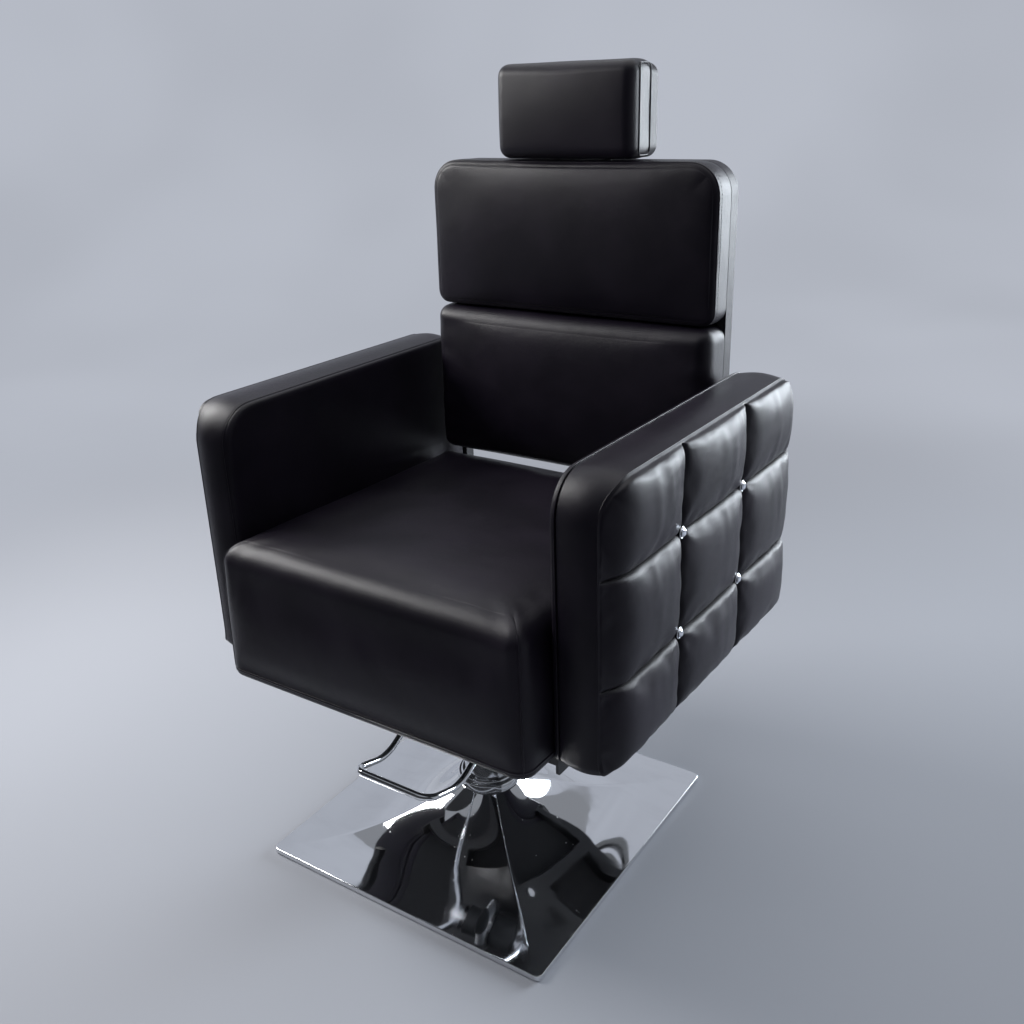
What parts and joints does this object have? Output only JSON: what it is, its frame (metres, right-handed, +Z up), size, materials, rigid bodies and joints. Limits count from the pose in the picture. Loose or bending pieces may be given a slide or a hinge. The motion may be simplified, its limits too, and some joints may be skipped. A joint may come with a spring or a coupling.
{
  "type": "threading chair",
  "caption": "Salon chair with a square pump base, tufted box arms, a reclining padded back and a headrest on posts; it swivels, rises and reclines.",
  "frame": {"origin": "on the floor, at the axis of the column", "axes": "+Z up, the sitter faces -Y, +X is the sitter's left"},
  "size_m": [0.72, 0.6358, 1.1419],
  "materials": {
    "chrome": "polished",
    "dark_steel": "satin",
    "zinc_steel": "satin",
    "cast_iron": "satin",
    "brass": "satin",
    "rubber": "matte",
    "plywood": "matte",
    "upholstery": "satin",
    "back_panel": "satin",
    "black_plastic": "matte",
    "crystal": "gloss"
  },
  "bodies": {
    "base": {"floor_pads": "rubber", "ballast_plate": "dark_steel", "base_cover": "chrome", "column_flange": "dark_steel", "flange_bolts": "zinc_steel", "column_tube": "chrome", "collar_ring": "chrome", "pump_cylinder": "zinc_steel", "pump_head": "cast_iron", "ram_gland": "brass", "pump_spring": "zinc_steel"},
    "pedal": {"pedal_shaft": "zinc_steel", "pedal_bar": "chrome", "pump_rocker": "zinc_steel"},
    "plunger": {"pump_plunger": "zinc_steel"},
    "lift": {"ram": "chrome", "ram_piston": "zinc_steel", "piston_ring": "rubber", "thrust_washer": "brass"},
    "seat": {"seat_hub": "dark_steel", "seat_plate": "dark_steel", "frame_rails": "dark_steel", "cross_tubes": "dark_steel", "mount_bolts": "zinc_steel", "seat_board": "plywood", "seat_cushion": "upholstery", "arm_brackets": "dark_steel", "arm_bolts": "zinc_steel", "left_arm_core": "plywood", "right_arm_core": "plywood", "left_arm_lining": "upholstery", "right_arm_lining": "upholstery", "left_arm_pad": "upholstery", "right_arm_pad": "upholstery", "left_arm_buttons": "crystal", "right_arm_buttons": "crystal", "hinge_brackets": "dark_steel", "hinge_bolts": "zinc_steel", "strut_clevis": "dark_steel", "lever_brackets": "dark_steel"},
    "lever": {"recline_lever": "zinc_steel", "lever_grip": "black_plastic"},
    "back": {"back_uprights": "dark_steel", "torque_tube": "dark_steel", "strut_lug": "dark_steel", "back_crossbars": "dark_steel", "headrest_guides": "dark_steel", "lower_back_board": "plywood", "upper_back_board": "plywood", "lower_back_pad": "upholstery", "upper_back_pad": "upholstery", "back_shell": "back_panel"},
    "headrest": {"headrest_posts": "chrome", "headrest_bracket": "dark_steel", "headrest_board": "plywood", "headrest_pad": "upholstery", "headrest_shell": "back_panel"},
    "strut_rod": {"strut_rod": "chrome"},
    "strut_tube": {"strut_cylinder": "dark_steel"}
  },
  "joints": [
    {"name": "pedal_hinge", "type": "hinge", "parent": "base", "child": "pedal", "pos_m": [0, -0.044, 0.2562], "axis": [1, 0, 0], "range_deg": [0, 16], "stiffness_Nm_per_rad": 12, "springref_deg": -14.32},
    {"name": "plunger_slide", "type": "slide", "parent": "base", "child": "plunger", "axis": [0, 0, -1], "range_m": [0, 0.007], "deforming": ["pump_spring"]},
    {"name": "seat_lift", "type": "slide", "parent": "base", "child": "lift", "axis": [0, 0, 1], "range_m": [0, 0.15]},
    {"name": "seat_swivel", "type": "hinge", "parent": "lift", "child": "seat", "pos_m": [0, 0, 0.29], "axis": [0, 0, 1], "continuous": true},
    {"name": "back_recline", "type": "hinge", "parent": "seat", "child": "back", "pos_m": [0, 0.31233, 0.36858], "axis": [-1, 0, 0], "range_deg": [0, 40]},
    {"name": "headrest_slide", "type": "slide", "parent": "back", "child": "headrest", "axis": [0, 0.0541, 0.9985], "range_m": [0, 0.11]},
    {"name": "release_lever", "type": "hinge", "parent": "seat", "child": "lever", "pos_m": [0, 0.07286, 0.27829], "axis": [-1, 0, 0], "range_deg": [0, 15], "stiffness_Nm_per_rad": 1.5, "springref_deg": -20.05},
    {"name": "strut_pivot", "type": "hinge", "parent": "seat", "child": "strut_rod", "pos_m": [0.06, 0.09329, 0.28955], "axis": [-1, 0, 0], "range_deg": [0, 2]},
    {"name": "strut_stroke", "type": "slide", "parent": "strut_rod", "child": "strut_tube", "axis": [0, 0.9997, -0.0245], "range_m": [-0.07, 0]}
  ],
  "couplings": [
    {"joint": "plunger_slide", "follows": "pedal_hinge", "m_per_rad": 0.0218},
    {"joint": "strut_pivot", "follows": "back_recline", "ratio": 0.02159},
    {"joint": "strut_stroke", "follows": "back_recline", "m_per_rad": -0.08757}
  ]
}
